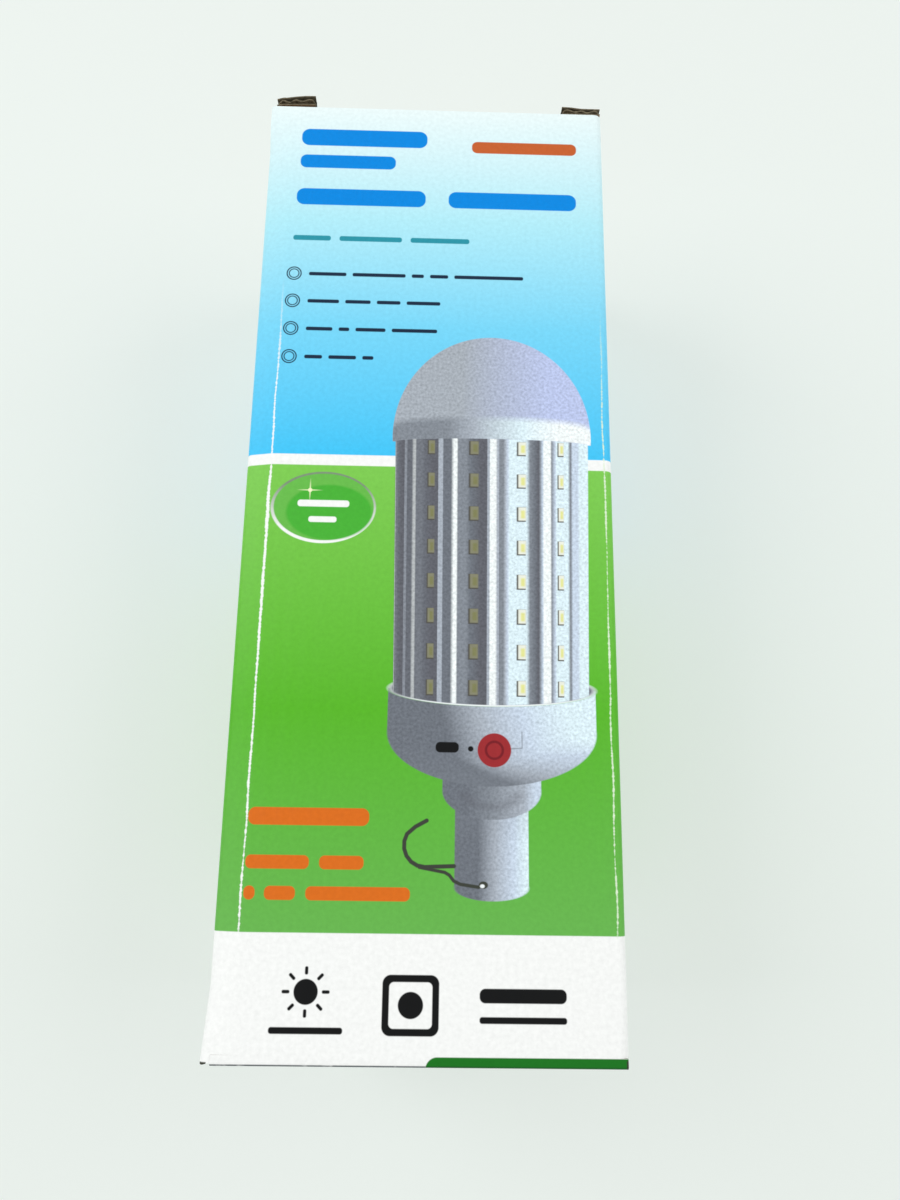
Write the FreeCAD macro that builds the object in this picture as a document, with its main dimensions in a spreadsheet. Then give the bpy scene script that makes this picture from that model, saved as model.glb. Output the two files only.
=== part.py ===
# A printed folding carton of thin corrugated board with a tuck-in lid at each end, lying on its back.
# Frame: X across the front, Y along the carton towards its top end, Z up out of the front panel.
# The origin is the middle of the back panel's outer face. The top lid is hinged on the back panel and
# tucks in behind the front one, and the bottom lid is the same lid turned end for end and back to front.

import FreeCAD
import Part
import Sketcher

import math
import os

# Driving sizes in millimetres: name, value, what it is
SIZES = (
    ("carton_width", 80.0, "outside width across the front panel"),
    ("carton_depth", 80.0, "outside depth, back panel to front panel"),
    ("carton_length", 214.0, "outside length over both lids"),
    ("board", 1.8, "thickness of the corrugated board"),
    ("corner_radius", 1.8, "outside radius of the four long folds"),
    ("crease_radius", 1.3, "outside radius of the lid and dust flap folds"),
    ("seam_radius", 1.2, "outside radius of the fold that carries the glue flap"),
    ("seam_lift", 0.2, "height of the right wall's raw edge over the back panel's outer face"),
    ("glue_width", 14.0, "width of the glue flap"),
    ("glue_taper", 6.0, "how far each end of the glue flap slopes in"),
    ("glue_end_gap", 3.0, "room between the glue flap and what folds in beside its ends"),
    ("dust_length", 32.0, "length of a dust flap from the outside of its wall"),
    ("dust_taper", 5.0, "how far each side of a dust flap slopes in along its length"),
    ("dust_side_gap", 1.0, "room between a dust flap's root and the walls or tuck flap beside it"),
    ("dust_round", 6.0, "radius of a dust flap's free corners"),
    ("lid_gap", 0.2, "room between a lid and the flaps and raw edge under it"),
    ("lid_side_gap", 0.85, "how much narrower a lid is than the carton, on each side"),
    ("slit_length", 9.5, "length of the slit that frees each ear from the tuck flap"),
    ("slit_gap", 0.3, "width of that slit"),
    ("ear_setback", 0.2, "how far an ear's raw edge stays behind the outer face of its wall"),
    ("tuck_length", 16.0, "length of the tuck flap beyond its fold"),
    ("tuck_gap", 0.3, "room between the tuck flap's fold and the wall that it goes behind"),
    ("tuck_side_gap", 0.6, "room between the tuck flap and the walls beside it"),
    ("tuck_round", 9.0, "radius of the tuck flap's free corners"),
)

# Places that several pieces share, as expressions on the driving sizes
HALF_WIDTH = "Sizes.carton_width / 2"
INNER_HALF_WIDTH = "(Sizes.carton_width / 2 - Sizes.board)"
LID_WIDTH = "(Sizes.carton_width - 2 * Sizes.lid_side_gap)"
LID_FACE = "Sizes.carton_length / 2"
LID_INNER = "(Sizes.carton_length / 2 - Sizes.board)"
WALL_END = "(Sizes.carton_length / 2 - Sizes.board - Sizes.lid_gap)"
FLAP_INNER = "(Sizes.carton_length / 2 - 2 * Sizes.board - Sizes.lid_gap)"
CORNER = "min(Sizes.corner_radius; 1.5 * Sizes.board)"
CREASE = "min(Sizes.crease_radius; 0.8 * Sizes.board)"
SEAM = "min(Sizes.seam_radius; 0.7 * Sizes.board)"
# The outside of a mitred fold meets its mitre this far from both outer faces
MITRE = f"({CREASE} * (1 - sqrt(2) / 2))"
# The tuck flap leans in, so that its tip swings no further out than its fold
TUCK_FOLD = "(Sizes.carton_depth - 2 * Sizes.board - Sizes.tuck_gap)"
LEAN = f"asin((Sizes.tuck_length / 2 + Sizes.board) / {TUCK_FOLD})"
TUCK_FOLD_WIDTH = f"({LID_WIDTH} - 2 * Sizes.slit_length)"
TUCK_WIDTH = f"(2 * {INNER_HALF_WIDTH} - 2 * Sizes.tuck_side_gap)"
DUST_LOW = "(Sizes.board + Sizes.dust_side_gap)"
DUST_HIGH = f"({TUCK_FOLD} - Sizes.dust_side_gap)"
DUST_TIP = f"({HALF_WIDTH} - Sizes.dust_length)"

# How far a cutting profile reaches outside what it cuts
CUT_MARGIN = "1"
NEAR = 1e-4

document = FreeCAD.newDocument("carton")
sheet = document.addObject("Spreadsheet::Sheet", "Sizes")
for row, (alias, value, meaning) in enumerate(SIZES, start=1):
    sheet.set(f"A{row}", str(value))
    sheet.setAlias(f"A{row}", alias)
    sheet.set(f"B{row}", meaning)
document.recompute()


def size(expression):
    """The number that an expression on the driving sizes gives."""
    value = sheet.evalExpression(expression)
    return float(getattr(value, "Value", value))


def new_body(label):
    body = document.addObject("PartDesign::Body", label)
    body.Label = label
    return body


def new_sketch(body, name, role, offset=None):
    """A sketch on one of the body's own origin planes, moved along the plane's normal by an expression."""
    sketch = body.newObject("Sketcher::SketchObject", name)
    plane = next(item for item in body.Origin.OriginFeatures if item.Role == role)
    sketch.AttachmentSupport = [(plane, "")]
    sketch.MapMode = "FlatFace"
    if offset is not None:
        sketch.setExpression("AttachmentOffset.Base.z", offset)
    return sketch


def pin_point(sketch, curve, end, across, up):
    """Fix one end of a sketch curve at two expressions, measured from the sketch's origin."""
    origin, start_point = -1, 1
    for kind, expression in (("DistanceX", across), ("DistanceY", up)):
        value = size(expression)
        index = sketch.addConstraint(Sketcher.Constraint(kind, origin, start_point, curve, end, value))
        sketch.setExpression(f"Constraints[{index}]", expression)


def draw_outline(sketch, corners, arcs=None):
    """Draw a closed outline through corners given as pairs of expressions.

    arcs gives, for the number of a corner, the centre and radius of the arc from there to the next corner.
    """
    arcs = arcs or {}
    points = [FreeCAD.Vector(size(across), size(up), 0) for across, up in corners]
    first_end, last_end = 1, 2
    ends = []
    for number, start in enumerate(points):
        stop = points[(number + 1) % len(points)]
        if number not in arcs:
            curve = sketch.addGeometry(Part.LineSegment(start, stop))
            ends.append((curve, first_end, last_end))
            continue
        centre_across, centre_up, radius = arcs[number]
        centre = FreeCAD.Vector(size(centre_across), size(centre_up), 0)
        turn = (start - centre).cross(stop - centre).z
        from_point, to_point = (start, stop) if turn > 0 else (stop, start)
        angles = [math.atan2(p.y - centre.y, p.x - centre.x) for p in (from_point, to_point)]
        if angles[1] < angles[0]:
            angles[1] += 2 * math.pi
        circle = Part.Circle(centre, FreeCAD.Vector(0, 0, 1), size(radius))
        curve = sketch.addGeometry(Part.ArcOfCircle(circle, angles[0], angles[1]))
        ends.append((curve, first_end, last_end) if turn > 0 else (curve, last_end, first_end))
        index = sketch.addConstraint(Sketcher.Constraint("Radius", curve, size(radius)))
        sketch.setExpression(f"Constraints[{index}]", radius)
    for number, (curve, start_end, stop_end) in enumerate(ends):
        next_curve, next_start, _ = ends[(number + 1) % len(ends)]
        sketch.addConstraint(Sketcher.Constraint("Coincident", curve, stop_end, next_curve, next_start))
        pin_point(sketch, curve, start_end, *corners[number])


def extrude(body, kind, name, sketch, length, reversed_way=False, symmetric=False):
    """Pad or pocket a sketch by an expression and check that the solid grew or shrank as it should."""
    document.recompute()
    before = body.Shape.Volume if not body.Shape.isNull() else 0.0
    feature = body.newObject(f"PartDesign::{kind}", name)
    feature.Profile = sketch
    feature.setExpression("Length", length)
    feature.Reversed = reversed_way
    feature.SideType = "Symmetric" if symmetric else "One side"
    document.recompute()
    change = body.Shape.Volume - before
    if change * (1 if kind == "Pad" else -1) <= 0:
        raise RuntimeError(f"{name} changed the volume by {change:.3f} cubic millimetres")
    return feature


def round_edges(body, name, radius, chosen):
    """Round the edges of the body that a test picks out by their ends."""
    document.recompute()
    base = body.Tip
    names = []
    for number, edge in enumerate(base.Shape.Edges, start=1):
        if len(edge.Vertexes) == 2 and chosen(edge.Vertexes[0].Point, edge.Vertexes[1].Point):
            names.append(f"Edge{number}")
    if not names:
        raise RuntimeError(f"{name} found no edge to round")
    feature = body.newObject("PartDesign::Fillet", name)
    feature.Base = (base, names)
    feature.setExpression("Radius", radius)
    document.recompute()
    return feature


def near(first, second):
    return abs(first - second) < NEAR


def at_end(end, along, up):
    """A place given for the top end, or the same place at the bottom end: end for end and back to front."""
    if end == "top":
        return along, up
    return f"-({along})", f"Sizes.carton_depth - ({up})"


def walls(body):
    """The four walls as one tube. The back panel's right edge folds up inside the right wall, at the seam."""
    sketch = new_sketch(body, "wall_section", "XZ_Plane")
    depth = "Sizes.carton_depth"
    outer = (
        (HALF_WIDTH, "Sizes.seam_lift"),
        (HALF_WIDTH, f"{depth} - {CORNER}"),
        (f"{HALF_WIDTH} - {CORNER}", depth),
        (f"-({HALF_WIDTH}) + {CORNER}", depth),
        (f"-({HALF_WIDTH})", f"{depth} - {CORNER}"),
        (f"-({HALF_WIDTH})", CORNER),
        (f"-({HALF_WIDTH}) + {CORNER}", "0"),
        (f"{INNER_HALF_WIDTH} - {SEAM}", "0"),
        (INNER_HALF_WIDTH, SEAM),
        (INNER_HALF_WIDTH, "Sizes.seam_lift"),
    )
    folds = {
        1: (f"{HALF_WIDTH} - {CORNER}", f"{depth} - {CORNER}", CORNER),
        3: (f"-({HALF_WIDTH}) + {CORNER}", f"{depth} - {CORNER}", CORNER),
        5: (f"-({HALF_WIDTH}) + {CORNER}", CORNER, CORNER),
        7: (f"{INNER_HALF_WIDTH} - {SEAM}", SEAM, SEAM),
    }
    inner = (
        (f"-{INNER_HALF_WIDTH}", "Sizes.board"),
        (INNER_HALF_WIDTH, "Sizes.board"),
        (INNER_HALF_WIDTH, f"{depth} - Sizes.board"),
        (f"-{INNER_HALF_WIDTH}", f"{depth} - Sizes.board"),
    )
    draw_outline(sketch, outer, folds)
    draw_outline(sketch, inner)
    extrude(body, "Pad", "wall_tube", sketch, f"2 * {WALL_END}", symmetric=True)


def glue_flap(body):
    """The flap on the back panel's right edge, glued inside the right wall, with sloping ends."""
    sketch = new_sketch(body, "glue_flap_outline", "YZ_Plane", INNER_HALF_WIDTH)
    low_end = f"-({LID_INNER} - Sizes.tuck_length - Sizes.glue_end_gap)"
    high_end = f"{FLAP_INNER} - Sizes.glue_end_gap"
    edge = "Sizes.board + Sizes.glue_width"
    corners = (
        (low_end, "Sizes.board"),
        (high_end, "Sizes.board"),
        (f"{high_end} - Sizes.glue_taper", edge),
        (f"{low_end} + Sizes.glue_taper", edge),
    )
    draw_outline(sketch, corners)
    extrude(body, "Pad", "glue_flap", sketch, "Sizes.board", reversed_way=True)


def dust_flaps(body, end):
    """The two flaps on the side walls that fold in under a lid, each with its rounded fold."""
    at_top = end == "top"
    along = f"-{WALL_END}" if at_top else WALL_END
    sketch = new_sketch(body, f"{end}_dust_outline", "XZ_Plane", along)
    low, high = DUST_LOW, DUST_HIGH
    profile = (
        (INNER_HALF_WIDTH, low),
        (INNER_HALF_WIDTH, high),
        (DUST_TIP, f"{high} - Sizes.dust_taper"),
        (DUST_TIP, f"{low} + Sizes.dust_taper"),
    )
    for side in ("", "-"):
        corners = [(f"{side}({across})", at_end(end, "0", up)[1]) for across, up in profile]
        draw_outline(sketch, corners)
    extrude(body, "Pad", f"{end}_dust_flaps", sketch, "Sizes.board", reversed_way=not at_top)

    root_low = at_end(end, "0", low if at_top else high)[1]
    cut = new_sketch(body, f"{end}_dust_fold", "XY_Plane", root_low)
    outside = f"{HALF_WIDTH} + {CUT_MARGIN}"
    beyond = f"{WALL_END} + {CUT_MARGIN}"
    spandrel = (
        (f"{HALF_WIDTH} - {CREASE}", WALL_END),
        (f"{HALF_WIDTH} - {CREASE}", beyond),
        (outside, beyond),
        (outside, f"{WALL_END} - {CREASE}"),
        (HALF_WIDTH, f"{WALL_END} - {CREASE}"),
    )
    centre = (f"{HALF_WIDTH} - {CREASE}", f"{WALL_END} - {CREASE}")
    for side in ("", "-"):
        corners = [(f"{side}({across})", at_end(end, y, "0")[0]) for across, y in spandrel]
        fold = (f"{side}({centre[0]})", at_end(end, centre[1], "0")[0], CREASE)
        draw_outline(cut, corners, {len(corners) - 1: fold})
    extrude(body, "Pocket", f"{end}_dust_folds", cut, f"{high} - {low}", reversed_way=True)


def hinge_half(body, end):
    """The wall's half of a lid's fold: mitred, with its share of the rounded outside."""
    sketch = new_sketch(body, f"{end}_hinge_section", "YZ_Plane")
    profile = (
        (WALL_END, "0"),
        (f"{LID_FACE} - {CREASE}", "0"),
        (f"{LID_FACE} - {MITRE}", MITRE),
        (LID_INNER, "Sizes.board"),
        (WALL_END, "Sizes.board"),
    )
    corners = [at_end(end, along, up) for along, up in profile]
    fold = (*at_end(end, f"{LID_FACE} - {CREASE}", CREASE), CREASE)
    draw_outline(sketch, corners, {1: fold})
    extrude(body, "Pad", f"{end}_hinge", sketch, LID_WIDTH, symmetric=True)


def carton_body():
    body = new_body("carton_body")
    walls(body)
    glue_flap(body)
    for end in ("top", "bottom"):
        dust_flaps(body, end)
        hinge_half(body, end)
    tip = size(DUST_TIP)

    def free_corner(first, second):
        at_tip = near(abs(first.x), tip) and near(first.x, second.x)
        return at_tip and near(first.z, second.z)

    round_edges(body, "dust_corners", "min(Sizes.dust_round; Sizes.dust_length / 3)", free_corner)
    return body


def lid(label):
    """A lid in its top place: panel, two ears beyond the slits, and the tuck flap on its fold."""
    body = new_body(label)
    panel = new_sketch(body, "panel_section", "YZ_Plane")
    corners = (
        (f"{LID_FACE} - {MITRE}", MITRE),
        (LID_FACE, CREASE),
        (LID_FACE, TUCK_FOLD),
        (LID_INNER, TUCK_FOLD),
        (LID_INNER, "Sizes.board"),
    )
    hinge_round = (f"{LID_FACE} - {CREASE}", CREASE, CREASE)
    draw_outline(panel, corners, {0: hinge_round})
    extrude(body, "Pad", "panel", panel, LID_WIDTH, symmetric=True)

    ears = new_sketch(body, "ear_outline", "XZ_Plane", f"-({LID_FACE})")
    ear_edge = "Sizes.carton_depth - Sizes.ear_setback"
    ear_start = f"{TUCK_FOLD_WIDTH} / 2 + Sizes.slit_gap"
    for side in ("", "-"):
        outline = (
            (f"{side}({ear_start})", TUCK_FOLD),
            (f"{side}({LID_WIDTH} / 2)", TUCK_FOLD),
            (f"{side}({LID_WIDTH} / 2)", ear_edge),
            (f"{side}({ear_start})", ear_edge),
        )
        draw_outline(ears, outline)
    extrude(body, "Pad", "ears", ears, "Sizes.board")

    # The tuck flap turns about the inner end of the panel and then runs straight, leaning in
    def along_flap(run, thickness):
        across = f"{LID_INNER} - ({thickness}) * sin({LEAN}) - ({run}) * cos({LEAN})"
        up = f"{TUCK_FOLD} + ({thickness}) * cos({LEAN}) - ({run}) * sin({LEAN})"
        return across, up

    fold = new_sketch(body, "tuck_fold_section", "YZ_Plane")
    fold_corners = (
        (LID_FACE, TUCK_FOLD),
        along_flap("0", "Sizes.board"),
        along_flap("Sizes.slit_gap", "Sizes.board"),
        along_flap("Sizes.slit_gap", "0"),
        (LID_INNER, TUCK_FOLD),
    )
    draw_outline(fold, fold_corners, {0: (LID_INNER, TUCK_FOLD, "Sizes.board")})
    extrude(body, "Pad", "tuck_fold", fold, TUCK_FOLD_WIDTH, symmetric=True)

    flap = new_sketch(body, "tuck_flap_section", "YZ_Plane")
    flap_corners = (
        along_flap("Sizes.slit_gap", "Sizes.board"),
        along_flap("Sizes.tuck_length", "Sizes.board"),
        along_flap("Sizes.tuck_length", "0"),
        along_flap("Sizes.slit_gap", "0"),
    )
    draw_outline(flap, flap_corners)
    extrude(body, "Pad", "tuck_flap", flap, TUCK_WIDTH, symmetric=True)

    edge_of_flap = size(f"{TUCK_WIDTH} / 2")
    tip_along = size(along_flap("Sizes.tuck_length", "Sizes.board / 2")[0])
    reach = size("Sizes.board")

    def tip_corner(first, second):
        at_side = near(abs(first.x), edge_of_flap) and near(first.x, second.x)
        return at_side and abs(first.y - tip_along) < reach and abs(second.y - tip_along) < reach

    round_edges(body, "tuck_corners", "min(Sizes.tuck_round; Sizes.tuck_length * 0.7)", tip_corner)
    return body


def check_document(parts):
    """Stop before anything is written if a feature failed or a piece isn't one sound solid."""
    document.recompute()
    for item in document.Objects:
        if "Invalid" in item.State or "Error" in item.State:
            raise RuntimeError(f"{item.Name} failed: {item.State}")
    for body in parts:
        shape = body.Shape
        if shape.isNull() or not shape.isValid() or len(shape.Solids) != 1:
            raise RuntimeError(f"{body.Label} isn't one sound solid")
        box = shape.BoundBox
        spans = " x ".join(f"{span:.2f}" for span in (box.XLength, box.YLength, box.ZLength))
        print(f"{body.Label}: volume {shape.Volume:.1f} mm3, {spans} mm")


carton = carton_body()
top_lid = lid("top_lid")
bottom_lid = lid("bottom_lid")
# Turned half round about X, the second lid closes the bottom end from the front panel
half_turn = 180
bottom_lid.Placement.Rotation = FreeCAD.Rotation(FreeCAD.Vector(1, 0, 0), half_turn)
bottom_lid.setExpression("Placement.Base.z", "Sizes.carton_depth")

pieces = (carton, top_lid, bottom_lid)
check_document(pieces)
os.makedirs("parts", exist_ok=True)
for piece in pieces:
    piece.Shape.exportStep(os.path.join("parts", f"{piece.Label}.step"))
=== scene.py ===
import math

import bmesh
import bpy
from mathutils import Matrix, Vector


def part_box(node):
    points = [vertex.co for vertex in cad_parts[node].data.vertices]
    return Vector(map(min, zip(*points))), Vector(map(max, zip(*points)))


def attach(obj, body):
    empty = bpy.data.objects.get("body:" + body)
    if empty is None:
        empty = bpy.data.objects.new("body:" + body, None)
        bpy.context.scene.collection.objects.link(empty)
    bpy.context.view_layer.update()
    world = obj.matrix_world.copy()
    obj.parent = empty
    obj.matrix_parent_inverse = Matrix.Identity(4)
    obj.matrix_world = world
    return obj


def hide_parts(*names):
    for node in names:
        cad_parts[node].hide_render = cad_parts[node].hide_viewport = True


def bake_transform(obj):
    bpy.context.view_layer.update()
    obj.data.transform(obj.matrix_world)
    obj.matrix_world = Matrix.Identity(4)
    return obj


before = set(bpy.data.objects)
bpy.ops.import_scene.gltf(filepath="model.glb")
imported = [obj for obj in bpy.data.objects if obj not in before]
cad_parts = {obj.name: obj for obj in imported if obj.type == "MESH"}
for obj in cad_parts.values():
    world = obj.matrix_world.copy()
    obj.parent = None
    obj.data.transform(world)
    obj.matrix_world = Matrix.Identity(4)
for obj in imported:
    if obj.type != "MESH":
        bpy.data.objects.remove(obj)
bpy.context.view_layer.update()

# A printed folding carton of thin corrugated board, lying on its back. Each sheet is laid out flat, cut,
# folded and given its liners, as a carton maker does it. Lengths are in metres. Print is laid out in
# millimetres on the front panel, across and up from the panel's middle.

MM = 0.001
BODY_LOW, BODY_HIGH = (Vector(corner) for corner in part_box("carton_body"))
LID_HIGH = Vector(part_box("top_lid")[1])

# The carton and its board
WIDTH = BODY_HIGH.x - BODY_LOW.x
DEPTH = BODY_HIGH.z - BODY_LOW.z
HALF = WIDTH / 2
LID_FACE = LID_HIGH.y
BOARD = 1.8 * MM
LINER = 0.3 * MM
CORE = BOARD - 2 * LINER
LID_GAP = 0.2 * MM
WALL_END = LID_FACE - BOARD - LID_GAP
CORNER_RADIUS = 1.8 * MM
CREASE_RADIUS = 1.3 * MM
HINGE_RADIUS = 0.7 * MM
SEAM_RADIUS = 1.2 * MM
SEAM_LIFT = 0.2 * MM
FRONT_MIDDLE = (WALL_END - LID_FACE) / 2
FLUTE_PITCH = 3.2 * MM
PAPER = 0.16 * MM
CRUSHED = 0.8 * MM

# The flaps
GLUE_WIDTH = 14 * MM
GLUE_TAPER = 6 * MM
GLUE_LOW = -86.2 * MM
GLUE_HIGH = 100.2 * MM
DUST_LENGTH = 32 * MM
DUST_TAPER = 5 * MM
DUST_LOW = 2.8 * MM
DUST_HIGH = 75.1 * MM
DUST_ROUND = 6 * MM
LID_HALF = LID_HIGH.x
LID_ASIDE = 0.5 * MM
TUCK_GAP = 0.3 * MM
TUCK_SIDE_GAP = 0.6 * MM
TUCK_LENGTH = 18 * MM
TUCK_CREASE = DEPTH - BOARD - TUCK_GAP
TUCK_TIP = TUCK_CREASE + TUCK_LENGTH
TUCK_HALF = HALF - BOARD - TUCK_SIDE_GAP
TUCK_ROUND = 9 * MM
TUCK_SWING = 8 * MM
TUCK_LEAN = math.asin((TUCK_SWING + BOARD) / (TUCK_CREASE - BOARD))
TUCK_ALONG = Vector((0, -math.cos(TUCK_LEAN), -math.sin(TUCK_LEAN)))
TUCK_INWARD = Vector((0, math.sin(TUCK_LEAN), -math.cos(TUCK_LEAN)))
EAR_EDGE = LID_HIGH.z
EAR_WIDTH = 9.2 * MM
EAR_START = LID_HALF - EAR_WIDTH
SLIT = 0.3 * MM
EAR_BEND = 5 * MM
EAR_STEPS = 4

# A lid's crease: how far it reaches from the corner, outside and inside
CREASE_REACH = 2 * MM
INNER_REACH = 3.5 * MM

# The front panel's left margin, bent down along a false crease
MARGIN = 5.8 * MM
MARGIN_DROP = 1.6 * MM
MARGIN_END = 12 * MM
MARGIN_RADIUS = 1.1 * MM
FALSE_CREASE_RADIUS = 0.9 * MM
CORNER_SPLAY = Vector((-0.9, -2.0, -0.1)) * MM

# The flat sheet, from the glue flap to the right wall's raw edge
BACK_LEFT = -HALF - DEPTH
BACK_RIGHT = BACK_LEFT - (WIDTH - BOARD)
SHEET_LEFT = BACK_RIGHT - GLUE_WIDTH
SHEET_RIGHT = HALF + DEPTH - SEAM_LIFT
SHEET_END = WALL_END + DUST_LENGTH
PANEL_STEPS = 5
LENGTH_STEPS = 9

NEAR = 0.01 * MM
QUARTER = math.pi / 2
SMOOTH = math.radians(35)


def named(name):
    """The piece in hand, given a name."""
    piece = bpy.context.object
    piece.name = name
    piece.data.name = name
    return piece


def start(add, name, **place):
    """Add a primitive with nothing else selected, and put its place into its mesh."""
    bpy.ops.object.select_all(action="DESELECT")
    add(**place)
    bpy.ops.object.transform_apply()
    return named(name)


def take(*pieces):
    """Select these pieces alone, the first of them in hand."""
    bpy.ops.object.select_all(action="DESELECT")
    for piece in pieces:
        piece.select_set(True)
    bpy.context.view_layer.objects.active = pieces[0]


def edit(piece):
    take(piece)
    bpy.ops.object.mode_set(mode="EDIT")
    bpy.ops.mesh.select_all(action="SELECT")


def done():
    bpy.ops.object.mode_set(mode="OBJECT")


def copy_of(piece, name):
    take(piece)
    bpy.ops.object.duplicate()
    return named(name)


def joined(pieces, name):
    take(*pieces)
    bpy.ops.object.join()
    return named(name)


def choose(piece, kind, test):
    """Select the faces whose middle passes a test of place, or the edges and corners whose ends all do."""
    mode = {"faces": "FACE", "edges": "EDGE", "verts": "VERT"}[kind]
    bpy.ops.mesh.select_mode(type=mode)
    bpy.ops.mesh.select_all(action="DESELECT")
    mesh = bmesh.from_edit_mesh(piece.data)
    for item in getattr(mesh, kind):
        if kind == "faces":
            places = [item.calc_center_median()]
        elif kind == "edges":
            places = [corner.co for corner in item.verts]
        else:
            places = [item.co]
        if all(test(place) for place in places):
            item.select_set(True)
    mesh.select_flush_mode()
    bmesh.update_edit_mesh(piece.data)


def cut(axis, places):
    """Cut the whole sheet across at each place along an axis."""
    for place in places:
        bpy.ops.mesh.select_all(action="SELECT")
        bpy.ops.mesh.bisect(plane_co=Vector(axis) * place, plane_no=axis)


def push(piece, moving, shift):
    choose(piece, "verts", moving)
    bpy.ops.transform.translate(value=shift)


def fold(piece, moving, crease, axis, angle):
    """Turn what lies beyond a crease about it."""
    choose(piece, "verts", moving)
    bpy.ops.transform.rotate(value=-angle, orient_axis=axis, center_override=crease)


def apply(piece, kind, **settings):
    take(piece)
    modifier = piece.modifiers.new(kind.title(), kind)
    for key, value in settings.items():
        setattr(modifier, key, value)
    bpy.ops.object.modifier_apply(modifier=modifier.name)


def smooth(piece):
    take(piece)
    bpy.ops.object.shade_smooth_by_angle(angle=SMOOTH)


def near(first, second):
    return abs(first - second) < NEAR


def steps_between(low, high, count):
    return [low + (high - low) * number / count for number in range(1, count)]


def placed(across, along, origin):
    """The matrix that lays a flat strip's x along one direction and its y along another."""
    across = Vector(across)
    along = Vector(along)
    turn = Matrix((across, along, across.cross(along))).transposed()
    return Matrix.Translation(origin) @ turn.to_4x4()


def half_turned(piece, name):
    """A copy for the other end: turned half round about the carton's cross axis."""
    copy = copy_of(piece, name)
    edit(copy)
    bpy.ops.transform.rotate(value=math.pi, orient_axis="X", center_override=(0, 0, DEPTH / 2))
    done()
    return copy


def flat_sheet(name, middle, size, **turn):
    """A flat sheet of a size round its middle, left open to edit."""
    sheet = start(bpy.ops.mesh.primitive_plane_add, name, size=1, location=middle, **turn)
    edit(sheet)
    bpy.ops.transform.resize(value=size, center_override=middle)
    return sheet


def body_sheet():
    """The body's outer surface: laid flat, cut to the blank's outline and folded round the front panel."""
    middle = ((SHEET_LEFT + SHEET_RIGHT) / 2, 0, DEPTH)
    sheet = flat_sheet("body_sheet", middle, (SHEET_RIGHT - SHEET_LEFT, 2 * SHEET_END, 1))

    # Where a height on a side wall lies on the flat sheet
    def on_left(height):
        return -HALF - (DEPTH - height)

    def on_right(height):
        return HALF + (DEPTH - height)

    roots = {1: (DUST_LOW, DUST_HIGH), -1: (DEPTH - DUST_HIGH, DEPTH - DUST_LOW)}
    creases = [BACK_RIGHT, BACK_LEFT, -HALF, HALF, -HALF + MARGIN]
    panels = ((-HALF + MARGIN, HALF), (HALF, SHEET_RIGHT), (BACK_LEFT, -HALF), (BACK_RIGHT, BACK_LEFT))
    between = [place for low, high in panels for place in steps_between(low, high, PANEL_STEPS)]
    cut((1, 0, 0), creases + between)
    inner_end = WALL_END - MARGIN_END
    cut((0, 1, 0), [-WALL_END, WALL_END, -inner_end, inner_end, GLUE_LOW, GLUE_HIGH])
    cut((0, 1, 0), steps_between(-inner_end, inner_end, LENGTH_STEPS))
    for end, heights in roots.items():
        for place in [side(height) for side in (on_left, on_right) for height in heights]:
            choose(sheet, "faces", lambda point: end * point.y > inner_end)
            bpy.ops.mesh.bisect(plane_co=(place, 0, 0), plane_no=(1, 0, 0))

    def is_waste(place):
        if place.x < BACK_RIGHT:
            return not GLUE_LOW < place.y < GLUE_HIGH
        if abs(place.y) < WALL_END:
            return False
        if place.x < BACK_LEFT or abs(place.x) < HALF:
            return True
        low, high = roots[1 if place.y > 0 else -1]
        return not low < DEPTH - (abs(place.x) - HALF) < high

    choose(sheet, "faces", is_waste)
    bpy.ops.mesh.delete(type="FACE")

    # Slope the dust flaps' sides and round their corners, and slope the glue flap's ends
    for end in (1, -1):
        low, high = roots[end]
        half_root = (high - low) / 2
        keep = 1 - DUST_TAPER / half_root
        for place in (on_left, on_right):
            centre = (place((low + high) / 2), end * SHEET_END, DEPTH)

            def on_tip(point):
                return near(point.y, end * SHEET_END) and abs(point.x - centre[0]) < half_root + NEAR

            def on_tip_corner(point):
                return on_tip(point) and near(abs(point.x - centre[0]), keep * half_root)

            choose(sheet, "verts", on_tip)
            bpy.ops.transform.resize(value=(keep, 1, 1), center_override=centre)
            choose(sheet, "verts", on_tip_corner)
            bpy.ops.mesh.bevel(offset=DUST_ROUND, segments=5, affect="VERTICES")
    glue_middle = (SHEET_LEFT, (GLUE_LOW + GLUE_HIGH) / 2, DEPTH)
    choose(sheet, "verts", lambda point: near(point.x, SHEET_LEFT))
    keep = 1 - 2 * GLUE_TAPER / (GLUE_HIGH - GLUE_LOW)
    bpy.ops.transform.resize(value=(1, keep, 1), center_override=glue_middle)

    # Bend the left margin down along its false crease, and fade that out at both ends
    def on_margin(point):
        return near(point.x, -HALF) and abs(point.y) < inner_end + NEAR

    push(sheet, on_margin, (0, 0, -MARGIN_DROP))

    # Fold from the outside in: dust flaps, glue flap, back panel, side walls
    for end in (1, -1):
        crease = (0, end * WALL_END, DEPTH)
        fold(sheet, lambda point: end * point.y > WALL_END + NEAR, crease, "X", -end * QUARTER)
    for place in (BACK_RIGHT, BACK_LEFT, -HALF):
        fold(sheet, lambda point: point.x < place - NEAR, (place, 0, DEPTH), "Y", -QUARTER)
    fold(sheet, lambda point: point.x > HALF + NEAR, (HALF, 0, DEPTH), "Y", QUARTER)

    # The bottom left corner stands out a little
    def on_corner(point):
        return near(point.x, -HALF) and near(point.y, -WALL_END) and point.z > DEPTH - MARGIN_DROP - NEAR

    push(sheet, on_corner, CORNER_SPLAY)
    done()
    return sheet


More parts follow.
